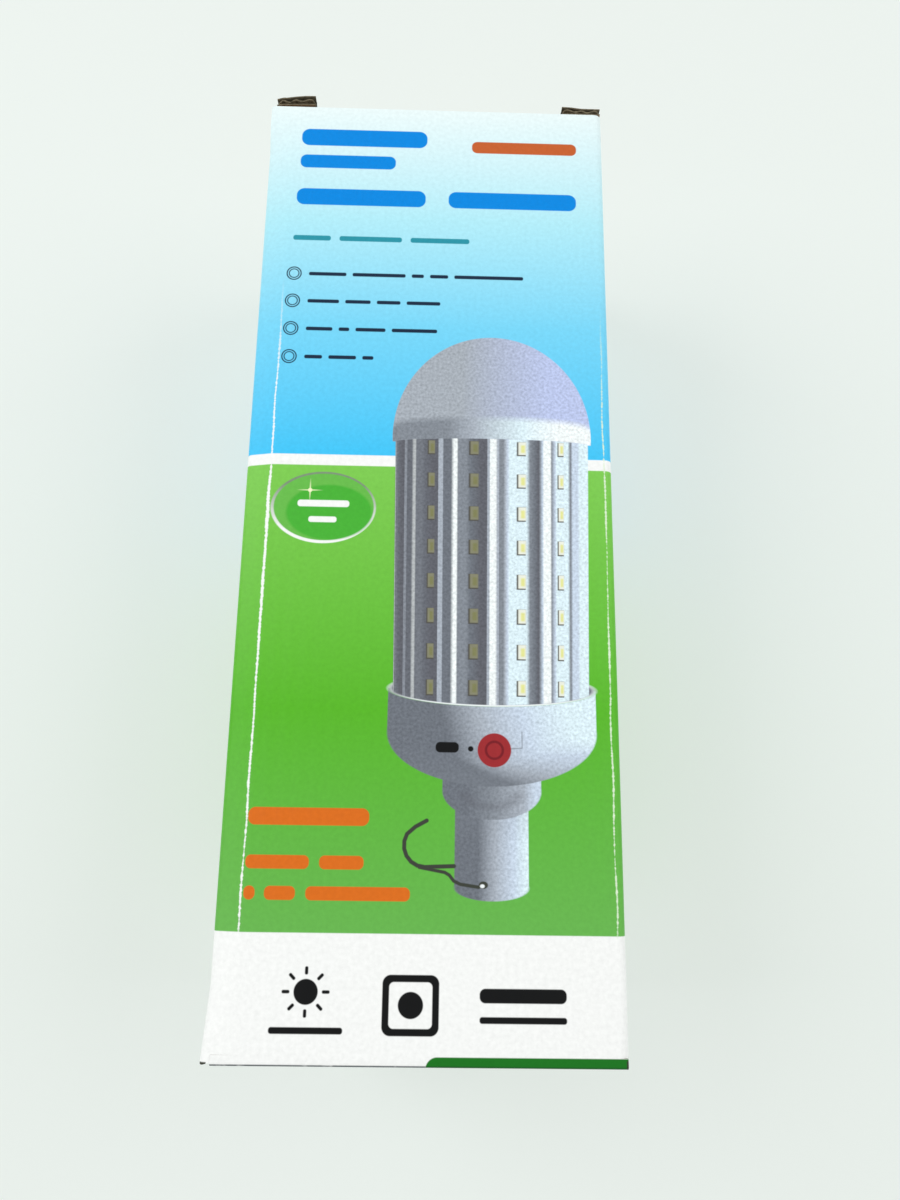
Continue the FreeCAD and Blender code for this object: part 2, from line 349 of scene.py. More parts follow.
def lid_sheet():
    """The top lid's outer surface: panel, two ears and a tuck flap, laid flat at the top end and folded."""
    low = CREASE_REACH
    middle = (0, LID_FACE, (low + TUCK_TIP) / 2)
    size = (2 * LID_HALF, 1, TUCK_TIP - low)
    sheet = flat_sheet("lid_sheet", middle, size, rotation=(-QUARTER, 0, 0))
    ear_places = [EAR_START - SLIT, EAR_START, TUCK_HALF]
    ear_places += steps_between(EAR_START, LID_HALF, EAR_STEPS)
    cut((1, 0, 0), [place * side for place in ear_places for side in (1, -1)])
    cut((0, 0, 1), [TUCK_CREASE - EAR_BEND, TUCK_CREASE, EAR_EDGE, EAR_EDGE + SLIT])

    def is_waste(place):
        aside = abs(place.x)
        if place.z < TUCK_CREASE:
            return False
        if place.z < EAR_EDGE:
            return EAR_START - SLIT < aside < EAR_START
        if place.z < EAR_EDGE + SLIT:
            return aside > EAR_START - SLIT
        return aside > TUCK_HALF

    choose(sheet, "faces", is_waste)
    bpy.ops.mesh.delete(type="FACE")
    choose(sheet, "verts", lambda point: near(point.z, TUCK_TIP) and near(abs(point.x), TUCK_HALF))
    bpy.ops.mesh.bevel(offset=TUCK_ROUND, segments=6, affect="VERTICES")

    def on_tuck(point):
        is_ear = abs(point.x) > EAR_START - NEAR and point.z < EAR_EDGE + NEAR
        return point.z > TUCK_CREASE + NEAR and not is_ear

    fold(sheet, on_tuck, (0, LID_FACE, TUCK_CREASE), "X", QUARTER + TUCK_LEAN)
    done()
    return sheet


def crease_sheet(depth, reach, half_width):
    """The top lid's crease at a depth into the board, from the back panel round to the lid."""
    corner = LID_FACE - depth
    middle = (0, corner, depth)
    sheet = flat_sheet("crease_sheet", middle, (2 * half_width, 2 * (reach - depth), 1))
    cut((0, 1, 0), [corner])
    fold(sheet, lambda point: point.y > corner + NEAR, middle, "X", QUARTER)
    bpy.ops.mesh.select_all(action="SELECT")
    bpy.ops.mesh.flip_normals()
    done()
    return sheet


def finished(liner, finishes, **settings):
    """Give a liner its finishes and its thickness."""
    for finish in finishes:
        liner.data.materials.append(finish)
    apply(liner, "SOLIDIFY", thickness=LINER, offset=-1, material_offset_rim=1, **settings)
    smooth(liner)
    return liner


def outer_liner(sheet, name, finishes, folds):
    """A sheet's outer paper. Each fold has its place, its radius and the steps round it."""
    liner = copy_of(sheet, name)
    edit(liner)
    for on_fold, radius, steps in folds:
        choose(liner, "edges", on_fold)
        bpy.ops.mesh.bevel(offset=radius, segments=steps, affect="EDGES")
    done()
    return finished(liner, finishes, material_offset=1)


def inner_liner(sheet, name, finishes, shifts):
    """A sheet's brown inner paper: each panel moved in through the board, so its folds stay mitred."""
    liner = copy_of(sheet, name)
    edit(liner)
    for on_panel, shift in shifts:
        push(liner, on_panel, shift)
    done()
    return finished(liner, finishes)


def fluting(name, wide, long, place, trims=(), height=CORE, paper=PAPER):
    """A wavy strip of the middle paper, its waves across its x, put in place by a matrix."""
    columns = 2 * max(1, round(wide / FLUTE_PITCH))
    strip = start(bpy.ops.mesh.primitive_grid_add, name, x_subdivisions=columns, y_subdivisions=1, size=1)
    edit(strip)
    bpy.ops.transform.resize(value=(wide, long, 1), center_override=(0, 0, 0))
    # Smoothing leaves a third of a zigzag's height, and more of it beside the flat ends
    swing = 3 * (height - paper) / 2
    end_swing = 0.75 * swing
    last = (1, columns - 1)
    for is_last, lift in ((False, swing), (True, end_swing)):
        for odd, way in ((0, 1), (1, -1)):

            def on_crest(point):
                column = round((point.x / wide + 0.5) * columns)
                return 0 < column < columns and column % 2 == odd and (column in last) == is_last

            push(strip, on_crest, (0, 0, way * lift))
    done()
    apply(strip, "SUBSURF", levels=2, render_levels=2)
    edit(strip)
    for point, outward in trims:
        bpy.ops.mesh.select_all(action="SELECT")
        bpy.ops.mesh.bisect(plane_co=point, plane_no=outward, clear_outer=True)
    done()
    apply(strip, "SOLIDIFY", thickness=paper, offset=0)
    strip.data.materials.append(RAW)
    smooth(strip)
    strip.matrix_world = place
    take(strip)
    bpy.ops.object.transform_apply()
    return strip


# How soft a printed edge is, in millimetres
SOFT = 0.2


class Signal:
    """A number that varies over a surface, with the sums that shape it."""

    def __init__(self, look, socket):
        self.look = look
        self.socket = socket

    def __add__(self, other):
        return self.look.math("ADD", self, other)

    def __sub__(self, other):
        return self.look.math("SUBTRACT", self, other)

    def __rsub__(self, other):
        return self.look.math("SUBTRACT", other, self)

    def __mul__(self, other):
        return self.look.math("MULTIPLY", self, other)

    def __truediv__(self, other):
        return self.look.math("DIVIDE", self, other)


class Nodes:
    """The nodes of a material or of the world."""

    def __init__(self, owner, shader):
        owner.use_nodes = True
        self.tree = owner.node_tree
        self.shader = self.tree.nodes[shader]

    def node(self, kind, settings=None, values=(), **sockets):
        """A node of a kind: its settings, then what goes into its sockets, in order or by name."""
        node = self.tree.nodes.new(kind)
        for key, value in (settings or {}).items():
            setattr(node, key, value)
        for socket, value in zip(node.inputs, values):
            self.plug(socket, value)
        self.fill(node, sockets)
        return node

    def fill(self, node, sockets):
        """Set or link the sockets in use by their names, written without spaces."""
        in_use = {socket.name.replace(" ", ""): socket for socket in node.inputs if socket.enabled}
        for key, value in sockets.items():
            self.plug(in_use[key], value)

    def plug(self, socket, value):
        value = getattr(value, "socket", value)
        if isinstance(value, bpy.types.NodeSocket):
            self.tree.links.new(value, socket)
        else:
            socket.default_value = value

    def math(self, operation, *values, clamp=False):
        settings = {"operation": operation, "use_clamp": clamp}
        return Signal(self, self.node("ShaderNodeMath", settings, values).outputs[0])

    def vector(self, operation, *values, output="Vector", **sockets):
        node = self.node("ShaderNodeVectorMath", {"operation": operation}, values, **sockets)
        return node.outputs[output]

    def glow_where_seen(self, share, output, colour):
        """Mix a plain glow into the surface, as far as the camera and reflections see it."""
        rays = self.node("ShaderNodeLightPath").outputs
        seen = Signal(self, rays["Is Camera Ray"]) + rays["Is Glossy Ray"] + rays["Is Transmission Ray"]
        glow = self.node("ShaderNodeEmission", Color=colour, Strength=1)
        values = (seen * share, self.shader.outputs[0], glow.outputs[0])
        mix = self.node("ShaderNodeMixShader", values=values)
        self.plug(self.tree.nodes[output].inputs["Surface"], mix.outputs[0])

    def wear(self, **sockets):
        """Set the shader's own sockets."""
        self.fill(self.shader, sockets)


class Look(Nodes):
    """One material, built step by step from the place on the surface."""

    def __init__(self, name):
        self.material = bpy.data.materials.new(name)
        super().__init__(self.material, "Principled BSDF")
        place = self.node("ShaderNodeTexCoord").outputs["Object"]
        self.place = self.vector("SCALE", place, Scale=1 / MM)
        parts = self.node("ShaderNodeSeparateXYZ", Vector=self.place).outputs
        self.x, self.y, self.z = (Signal(self, part) for part in parts)

    def below(self, value, edge, soft=SOFT):
        """1 where a signal is below an edge, fading to 0 across a soft width."""
        return self.math("MULTIPLY_ADD", value, -1 / soft, edge / soft + 0.5, clamp=True)

    def above(self, value, edge, soft=SOFT):
        return self.math("MULTIPLY_ADD", value, 1 / soft, -edge / soft + 0.5, clamp=True)

    def size(self, value):
        return self.math("ABSOLUTE", value)

    def either(self, first, second):
        return self.math("MAXIMUM", first, second)

    def noise(self, scale, detail=2, place=None, stretch=(1, 1, 1)):
        """Clouded noise with about scale lumps to a millimetre, stretched along an axis."""
        where = self.vector("MULTIPLY", place or self.place, stretch)
        node = self.node("ShaderNodeTexNoise", Vector=where, Scale=scale, Detail=detail)
        return Signal(self, node.outputs[0])

    def ramp(self, factor, stops):
        node = self.node("ShaderNodeValToRGB", Fac=factor)
        elements = node.color_ramp.elements
        while len(elements) < len(stops):
            elements.new(1)
        for element, (place, colour) in zip(elements, stops):
            element.position = place
            element.color = colour
        return node.outputs["Color"]

    def blend(self, mask, under, over):
        """A colour over another, as far as a mask lets it show."""
        node = self.node("ShaderNodeMix", {"data_type": "RGBA"}, Factor=mask, A=under, B=over)
        return next(socket for socket in node.outputs if socket.enabled)

    def bump(self, height, distance):
        node = self.node("ShaderNodeBump", Height=height, Distance=distance, Strength=1)
        self.plug(self.shader.inputs["Normal"], node.outputs[0])


def ink(red, green, blue):
    """A printed colour, from what a screen shows of it."""
    shown = (part / 255 for part in (red, green, blue))
    return (*(part / 12.92 if part < 0.04045 else ((part + 0.055) / 1.055) ** 2.4 for part in shown), 1)


class Artwork:
    """Flat shapes in ink, laid one over another on the front panel."""

    def __init__(self, look, colour, across, up):
        self.look = look
        self.colour = colour
        self.across = across
        self.up = up
        self.spot = look.node("ShaderNodeCombineXYZ", X=across, Y=up).outputs[0]

    def paint(self, mask, colour):
        self.colour = self.look.blend(mask, self.colour, colour)

    def round_bar(self, middle, half, radius, turn=0):
        """The mask of a bar with rounded corners, given its middle and half its size."""
        look = self.look
        spot = look.vector("SUBTRACT", self.spot, (*middle, 0))
        if turn:
            settings = {"rotation_type": "Z_AXIS"}
            spot = look.node("ShaderNodeVectorRotate", settings, Vector=spot, Angle=-turn).outputs[0]
        spot = look.vector("ABSOLUTE", spot)
        spot = look.vector("SUBTRACT", spot, (half[0] - radius, half[1] - radius, 0))
        spot = look.vector("MAXIMUM", spot, (0, 0, 0))
        return look.below(look.vector("LENGTH", spot, output="Value"), radius)

    def box(self, low, high, radius):
        middle = ((low[0] + high[0]) / 2, (low[1] + high[1]) / 2)
        half = ((high[0] - low[0]) / 2, (high[1] - low[1]) / 2)
        return self.round_bar(middle, half, radius)

    def reach(self, middle, radii):
        """How far out a point lies on an oval: 1 on its edge."""
        look = self.look
        spot = look.vector("SUBTRACT", self.spot, (*middle, 0))
        spot = look.vector("DIVIDE", spot, (*radii, 1))
        return Signal(look, look.vector("LENGTH", spot, output="Value"))

    def oval(self, middle, radii, soft=SOFT):
        return self.look.below(self.reach(middle, radii), 1, soft / min(radii))

    def ring(self, middle, radius, width):
        look = self.look
        off = look.size(self.reach(middle, (radius, radius)) - 1)
        return look.below(off, width / (2 * radius), SOFT / radius)

    def stroke(self, points, width):
        """The mask of a line of one width through points."""
        mask = None
        for (left, low), (right, high) in zip(points, points[1:]):
            middle = ((left + right) / 2, (low + high) / 2)
            length = math.hypot(right - left, high - low)
            half = (length / 2 + width / 2, width / 2)
            part = self.round_bar(middle, half, width / 2, turn=math.atan2(high - low, right - left))
            mask = part if mask is None else self.look.either(mask, part)
        return mask


# The printed fields, up from the front panel's middle in millimetres
STRIPE_TOP = 16.2
STRIPE_FOOT = 13.7
GREEN_FOOT = -82.35
PANEL_TOP = 106
BASE_FIELD_LEFT = 1.5
BASE_FIELD_TOP = -104.05
BASE_FIELD_FOOT = 12
WHITE = ink(250, 252, 250)
CRACKED_PALE = ink(226, 244, 214)
SKY_LOW = ink(66, 200, 250)
SKY_MIDDLE = ink(122, 217, 250)
SKY_PALE = ink(180, 238, 250)
SKY_TOP = ink(238, 252, 252)
GREEN_TOP = ink(128, 206, 84)
GREEN_MIDDLE = ink(90, 185, 40)
GREEN_LOW = ink(106, 184, 82)
DARK_GREEN = ink(26, 115, 30)
# Painted shade along the bottom fold, over the green field
FOLD_SHADE_GREEN = ink(10, 82, 34)
HEAD_BLUE = ink(0, 138, 228)
TEAL = ink(44, 150, 168)
DARK_INK = ink(24, 42, 66)
ORANGE = ink(222, 112, 30)
RUST = ink(200, 98, 48)
BLACK_INK = ink(10, 10, 12)
BADGE_DULL = ink(128, 150, 122)
BADGE_GREEN = ink(74, 180, 56)
BADGE_LIGHT = ink(106, 190, 78)
GLINT = ink(248, 252, 206)
# Painted shade along the bottom fold, where the print is white
FOLD_SHADE_GREY = ink(96, 102, 106)
EDGE_RAW = ink(58, 60, 50)
PALE = ink(236, 243, 238)
FLOOR_GREY = ink(238, 244, 240)
KRAFT_SHADE = ink(160, 126, 92)
KRAFT_LIGHT = ink(190, 156, 118)
RAW_SHADE = ink(84, 78, 62)
RAW_LIGHT = ink(126, 116, 94)

# The bars that stand for words: their height to their corners' radius, and the gap between two
BAR_TO_CORNER = 2.4
WORD_GAP = 2

# The pictured lamp, laid out from its own middle line and set in place as a whole
LAMP_ASIDE = -0.1
LAMP_LIFT = 0.62
LAMP_MIDDLE = 13.7
LAMP_RADIUS = 20.66
RADIUS_HEIGHT = -8
LAMP_TAPER = 0.018
LIP_HEIGHT = -35.4
LIP_RADII = (21.3, 3.5)
LIP_INNER_RADII = (20.9, 3.15)
COLLAR_TURN = -44.3
COLLAR_FOOT = -54.9
FACET = math.radians(31)
FIRST_RIB = math.radians(4.4)
CHANNEL_FLOOR = 0.93
CHIP_TOP = 17.9
CHIP_PITCH = 7.56
LAMP_SHADOW = ink(98, 100, 108)
LAMP_DARK = ink(112, 118, 127)
LAMP_DIM = ink(134, 141, 150)
LAMP_MID = ink(172, 181, 192)
LAMP_LIGHT = ink(204, 219, 236)
LAMP_BRIGHT = ink(224, 244, 251)
LAMP_WHITE = ink(245, 252, 252)
DOME_SHADE = ink(169, 177, 186)
DOME_LIGHT = ink(190, 202, 238)
CHIP_DIM = ink(136, 136, 112)
CHIP = ink(240, 244, 230)
CORE_DIM = ink(130, 131, 90)
CHIP_CORE = ink(232, 234, 156)
CHIP_EDGE = ink(84, 82, 76)
BUTTON = ink(160, 46, 50)
BUTTON_RING = ink(122, 30, 38)
WIRE = ink(62, 66, 58)


def print_words(art, colour, left, middle, height, words, gap=WORD_GAP):
    """A line of plain bars from its left end, each as long as a word would be."""
    for length in words:
        low = (left, middle - height / 2)
        high = (left + length, middle + height / 2)
        art.paint(art.box(low, high, height / BAR_TO_CORNER), colour)
        left += length + gap


def print_heading(art):
    print_words(art, HEAD_BLUE, left=-32.1, middle=97.5, height=4.6, words=(30,))
    print_words(art, HEAD_BLUE, left=-32.1, middle=90.8, height=3.6, words=(22.6,))
    print_words(art, HEAD_BLUE, left=-32.5, middle=81.1, height=4.4, words=(30.3, 30.1), gap=5.4)
    print_words(art, RUST, left=8.6, middle=95.8, height=3.2, words=(25,))
    print_words(art, TEAL, left=-32.7, middle=70, height=1.3, words=(8.7, 14.5, 13.7))


def print_list(art):
    """Four lines, each behind a bullet of two rings."""
    top = 60.6
    pitch = 7
    bullet = -32
    lines = ((8.6, 12.2, 2.8, 4.2, 15.9), (7.2, 5.8, 5.4, 7.7), (6, 2.4, 6.8, 10.3), (4, 6.2, 2.5))
    for number, words in enumerate(lines):
        up = top - pitch * number
        art.paint(art.ring((bullet, up), radius=1.6, width=0.28), DARK_INK)
        art.paint(art.ring((bullet, up), radius=1.1, width=0.24), DARK_INK)
        print_words(art, DARK_INK, left=-28.6, middle=up, height=0.9, words=words, gap=1.4)


def print_badge(art):
    """A glossy oval: its rim dull above and bright below, with a lighter crescent and a spark inside."""
    look = art.look
    middle = Vector((-22.65, 4.05))
    rim_colour = look.blend(look.below(art.up, middle.y, soft=10), BADGE_DULL, WHITE)
    art.paint(art.oval(middle, radii=(11.3, 8.1)), rim_colour)
    art.paint(art.oval(middle + Vector((0.1, 0.1)), radii=(10.75, 7.55)), BADGE_LIGHT)
    art.paint(art.oval(middle + Vector((1.3, -1.1)), radii=(9.2, 6.2), soft=0.5), BADGE_GREEN)
    print_words(art, WHITE, left=-28.2, middle=4.9, height=1.5, words=(11.1,))
    print_words(art, WHITE, left=-25.7, middle=1.3, height=1.3, words=(6,))
    spark = middle + Vector((-3, 3.85))
    long, thin, core = (1.6, 0.12, 0.45)
    for radii in ((long, thin), (thin, long), (core, core)):
        art.paint(art.oval(spark, radii), GLINT)


def print_notes(art):
    print_words(art, ORANGE, left=-34.4, middle=-60.6, height=3.4, words=(23.9,))
    print_words(art, ORANGE, left=-34.4, middle=-69.3, height=2.6, words=(12.4, 8.7))
    print_words(art, ORANGE, left=-34.4, middle=-75.1, height=2.6, words=(2.2,))
    print_words(art, ORANGE, left=-30.4, middle=-75.1, height=2.6, words=(6, 20.3))


def print_footer(art):
    """A sun, a dot in a square frame, and bars, in black on the white foot."""
    sun = Vector((-21.4, -92.9))
    rays = 8
    ray_reach = 3.8
    art.paint(art.oval(sun, radii=(2.3, 2.3)), BLACK_INK)
    for number in range(rays):
        turn = number * 2 * math.pi / rays
        place = sun + ray_reach * Vector((math.cos(turn), math.sin(turn)))
        art.paint(art.round_bar(place, half=(0.75, 0.32), radius=0.3, turn=turn), BLACK_INK)
    print_words(art, BLACK_INK, left=-28.1, middle=-99.7, height=1.2, words=(13.9,))
    square = (-1.5, -95.1)
    art.paint(art.round_bar(square, half=(5.4, 5.4), radius=1.6), BLACK_INK)
    art.paint(art.round_bar(square, half=(4.1, 4.1), radius=0.9), WHITE)
    art.paint(art.oval(square, radii=(2.4, 2.4)), BLACK_INK)
    print_words(art, BLACK_INK, left=11.6, middle=-93.3, height=2.6, words=(16.6,))
    print_words(art, BLACK_INK, left=11.6, middle=-97.6, height=1.2, words=(16.6,))


def grained(art, colour):
    """A colour with the fine grain of a printed photograph."""
    grain = art.look.noise(1.7, 3, art.spot) * 0.9 + 0.55
    return art.look.node("ShaderNodeHueSaturation", Value=grain, Color=colour).outputs[0]


def shades(art, middle, half, stops, lean=0):
    """Grained shades from a round part's left side to its right."""
    place = (art.across - (middle - half)) / (2 * half) + lean
    return grained(art, art.look.ramp(place, stops))


def bowed(art, middle, half, foot, top, deep):
    """The mask of a round part that is straight above its foot and bowed below it."""
    straight = art.box((middle - half, foot), (middle + half, top), radius=0.2)
    return art.look.either(straight, art.oval((middle, foot), (half, deep)))


def print_neck(art, middle):
    """The lamp's neck, and the round step above it with a hollow in its shade."""
    look = art.look
    half = 7.3
    neck = bowed(art, middle, half, foot=-74.3, top=-52, deep=2.5)
    stops = ((0.32, LAMP_DARK), (0.55, LAMP_MID), (0.8, LAMP_LIGHT), (0.97, LAMP_BRIGHT))
    shade = shades(art, middle, half, stops)
    under_step = look.above(art.up, edge=-64, soft=4) * 0.15
    art.paint(neck, look.blend(under_step, shade, LAMP_DIM))

    half = 9.9
    foot = -55.8
    deep = 5.6
    step = bowed(art, middle, half, foot, top=-48, deep=deep)
    stops = ((0.25, LAMP_DARK), (0.5, LAMP_DIM), (0.82, LAMP_MID), (0.95, LAMP_LIGHT))
    art.paint(step, shades(art, middle, half, stops))
    off_hollow = look.size(art.reach((middle, foot), (half, deep)) - 0.55)
    hollow = look.below(off_hollow, edge=0.1, soft=0.25) * look.below(art.up, edge=-56, soft=1)
    art.paint(step * hollow * 0.4, LAMP_SHADOW)


def print_hook(art):
    """A wire hook on the lamp's neck: a bow, and a tail that runs to its eye."""
    bow_middle = Vector((0.75, -66.4))
    bow_radius = 4.15
    turns = [math.radians(turn) for turn in range(150, 271, 20)]
    bend = [bow_middle + bow_radius * Vector((math.cos(turn), math.sin(turn))) for turn in turns]
    bow = [(1, -61.7), (-1.2, -62.9), *bend, (6.5, -70.3)]
    tail = ((-0.3, -70.6), (4.7, -71.5), (5.6, -72), (6.5, -73.1), (7.8, -73.7), (11.4, -74.2))
    wire = art.look.either(art.stroke(bow, width=0.8), art.stroke(tail, width=0.65))
    art.paint(wire, WIRE)
    art.paint(art.oval((12.3, -73.8), radii=(0.9, 0.7)), WIRE)
    art.paint(art.oval((12.1, -74), radii=(0.45, 0.35)), LAMP_WHITE)


def facet_place(look, side):
    """How far across its facet of the column a point lies: 0 and 1 amid its ribs, 0.5 amid its channel."""
    angle = look.math("ARCSINE", look.math("MINIMUM", look.math("MAXIMUM", side, -1), 1))
    return look.math("FRACT", (angle - FIRST_RIB) / FACET + 3)


def print_ribs(art, side):
    """The column's shades, in shade, in front and in light: twin ribs and a channel to each facet."""
    look = art.look
    facet = facet_place(look, side)
    in_shade = (
        (0.055, LAMP_DARK), (0.115, LAMP_WHITE), (0.17, LAMP_WHITE), (0.2, LAMP_DIM), (0.36, LAMP_DIM),
        (0.45, LAMP_DARK), (0.65, LAMP_SHADOW), (0.765, LAMP_SHADOW), (0.78, LAMP_MID), (0.87, LAMP_MID),
        (0.89, LAMP_DARK),
    )
    far_wall = ((0.61, LAMP_DIM), (0.72, LAMP_DARK), (0.8, LAMP_SHADOW))
    in_front = (
        (0.08, LAMP_DIM), (0.12, LAMP_MID), (0.17, LAMP_LIGHT), (0.2, LAMP_BRIGHT), (0.56, LAMP_BRIGHT),
        *far_wall, (0.82, LAMP_WHITE), (0.93, LAMP_WHITE), (0.97, LAMP_MID),
    )
    in_light = (
        (0.065, LAMP_WHITE), (0.1, LAMP_DIM), (0.19, LAMP_LIGHT), (0.22, LAMP_BRIGHT), (0.54, LAMP_BRIGHT),
        *far_wall, (0.83, LAMP_DIM), (0.89, LAMP_LIGHT), (0.914, LAMP_WHITE),
    )
    ribs = look.ramp(facet, in_shade)
    ribs = look.blend(look.above(side, edge=-0.02, soft=0.012), ribs, look.ramp(facet, in_front))
    ribs = look.blend(look.above(side, edge=0.3, soft=0.1), ribs, look.ramp(facet, in_light))

    # The last facets on both sides turn away
    ribs = look.blend(look.below(side, edge=-0.568, soft=0.012) * 0.55, ribs, LAMP_SHADOW)
    ribs = look.blend(look.above(side, edge=0.83, soft=0.02), ribs, LAMP_LIGHT)
    return grained(art, look.blend(look.above(side, edge=0.903, soft=0.02), ribs, LAMP_BRIGHT))


def print_column(art, side, inner_lip):
    """The lamp's column, with a row of chips down each channel."""
    look = art.look
    inside = look.below(look.size(side), edge=1, soft=0.01)
    column = inside * look.either(look.above(art.up, LIP_HEIGHT), inner_lip) * look.below(art.up, edge=21.5)
    art.paint(column, print_ribs(art, side))
    row = look.math("FRACT", (CHIP_TOP - art.up) / CHIP_PITCH + 0.5)
    down = (row - 0.5) * CHIP_PITCH
    off = facet_place(look, side / CHANNEL_FLOOR) - 0.5

    def chip_mask(aside, half, lower, half_height, soft=0.03, soft_end=SOFT):
        across = look.below(look.size(off - aside), half, soft)
        return across * look.below(look.size(down - lower), half_height, soft_end)

    has_chips = column * look.above(side, edge=-0.78, soft=0.02) * look.below(side, edge=0.86, soft=0.02)
    edge = chip_mask(aside=-0.02, half=0.1, lower=0.12, half_height=1.65)
    chip = chip_mask(aside=0, half=0.085, lower=0, half_height=1.5)
    core = chip_mask(aside=0.015, half=0.045, lower=0.1, half_height=0.9, soft=0.04, soft_end=0.4)
    lit = look.above(side, edge=0.1, soft=0.4)
    art.paint(edge * has_chips, CHIP_EDGE)
    art.paint(chip * has_chips, look.blend(lit, CHIP_DIM, CHIP))
    art.paint(core * has_chips, look.blend(lit, CORE_DIM, CHIP_CORE))


def print_collar(art, middle, outer_lip):
    """The collar that hangs from the lip, with a rounded foot."""
    look = art.look
    half = LIP_RADII[0]
    deep = COLLAR_TURN - COLLAR_FOOT
    collar = bowed(art, middle, half, COLLAR_TURN, top=-20, deep=deep) * look.below(art.up, LIP_HEIGHT)
    stops = ((0.28, LAMP_DARK), (0.45, LAMP_MID), (0.66, LAMP_LIGHT), (0.88, LAMP_BRIGHT))
    rounding = look.above(art.reach((middle, COLLAR_TURN), (half, deep)), edge=0.85, soft=0.6)
    rounding = rounding * look.below(art.up, COLLAR_TURN - 2, soft=4)
    lean = (art.up + 43) * 0.007 - rounding * 0.33
    shade = shades(art, middle, half, stops, lean)
    low = look.below(art.up, edge=-50, soft=7) * 0.25
    art.paint(collar * (1 - outer_lip), look.blend(low, shade, LAMP_DIM))


def print_dome(art, side):
    """The dome and its rim, both seen a little from below."""
    look = art.look
    half = 21.8
    arch = look.math("SQRT", look.math("MAXIMUM", 1 - side * side, 0))
    dome = art.oval((LAMP_MIDDLE, 20.6), radii=(half, 24.1)) * look.above(art.up - arch * 1.1, edge=19)
    art.paint(dome, shades(art, LAMP_MIDDLE, half, ((0.35, DOME_SHADE), (0.8, DOME_LIGHT))))
    rim = look.below(art.up - arch * 2, edge=23, soft=1.6)
    stops = ((0.27, LAMP_DIM), (0.41, LAMP_MID), (0.66, LAMP_BRIGHT), (0.84, LAMP_WHITE))
    art.paint(rim * dome, shades(art, LAMP_MIDDLE, half, stops))


def print_controls(art):
    """A port, a dot, a button and the seam beside it, on the collar."""
    button = (14.4, -47.7)
    art.paint(art.box((2.5, -48.3), (7.2, -46.2), radius=0.9), BLACK_INK)
    art.paint(art.oval((9.6, -47.5), radii=(0.55, 0.55)), BLACK_INK)
    art.paint(art.stroke(((20, -44), (20, -47.2), (17, -47.4)), width=0.16), LAMP_DIM)
    art.paint(art.oval(button, radii=(3.4, 3.4)), BUTTON)
    art.paint(art.ring(button, radius=1.7, width=0.5), BUTTON_RING)


def print_lamp(art):
    """A picture of a lamp in plain shades, lit from the right."""
    middle = LAMP_MIDDLE + 0.2
    print_neck(art, middle)
    print_hook(art)

    # The lip round the column's foot: the column stands in it and the collar hangs from it
    outer_lip = art.oval((middle, LIP_HEIGHT), LIP_RADII)
    inner_lip = art.oval((middle, LIP_HEIGHT), LIP_INNER_RADII)
    art.paint(outer_lip, LAMP_WHITE)
    art.paint(inner_lip, LAMP_DARK)
    side = (art.across - LAMP_MIDDLE) / ((art.up - RADIUS_HEIGHT) * LAMP_TAPER + LAMP_RADIUS)
    print_column(art, side, inner_lip)
    print_collar(art, middle, outer_lip)
    print_dome(art, side)
    print_controls(art)


def cracked_line(art, place, slant, high, width, worst=0):
    """Bare paper along a fold where the ink has cracked: it wanders, swells and frays."""
    look = art.look
    wander = (look.noise(0.06, 1, art.spot) - 0.5) * 0.8
    swell = (look.noise(0.05, 2, art.spot, stretch=(0, 1, 1)) - 0.5) * 0.5
    fray = (look.noise(1.8, 3, art.spot, stretch=(0.5, 1, 1)) - 0.5) * 0.6
    off = look.size(art.across - art.up * slant - place + wander)

    # It is widest a little below the stripe
    bulge = look.below(look.size(art.up - STRIPE_FOOT + 20), edge=14, soft=14) * worst
    line = look.below(off + swell + fray - bulge, width)
    ends = look.above(art.up, GREEN_FOOT, soft=2) * look.below(art.up, high, soft=26)
    return line * ends


def shaded_fold_and_raw_corners(art):
    """Painted shade along the bottom fold, grey and deep green, and raw board at its corners."""
    look = art.look
    corner = 39.3
    fold_shade_reach = 0.38
    left_tear = 1.25
    right_tear = 0.4
    wall_end = -WALL_END / MM
    # Painted shade along the bottom fold's turned-away side: patchy grey where the print is white, deep
    # green over the green field
    on_edge = look.below(look.y, -LID_FACE / MM + fold_shade_reach)
    shade_patches = look.above(look.noise(0.4, 2, art.spot), edge=0.3, soft=0.3)
    art.paint(on_edge * look.below(art.across, BASE_FIELD_LEFT) * shade_patches, FOLD_SHADE_GREY)
    art.paint(on_edge * look.above(art.across, BASE_FIELD_LEFT) * 0.6, FOLD_SHADE_GREEN)
    art.paint(look.below(look.y, wall_end - left_tear) * look.below(art.across, -corner), EDGE_RAW)
    art.paint(look.below(look.y, wall_end - right_tear) * look.above(art.across, corner), EDGE_RAW)


def flute_waves(look):
    """The waves that fluting presses through the walls' liners, fading out before the flaps and lids."""
    on_walls = look.below(look.size(look.y), (WALL_END - BOARD) / MM - 1, soft=1.6)
    return look.math("SINE", (look.x + look.z) * (2 * math.pi * MM / FLUTE_PITCH)) * on_walls


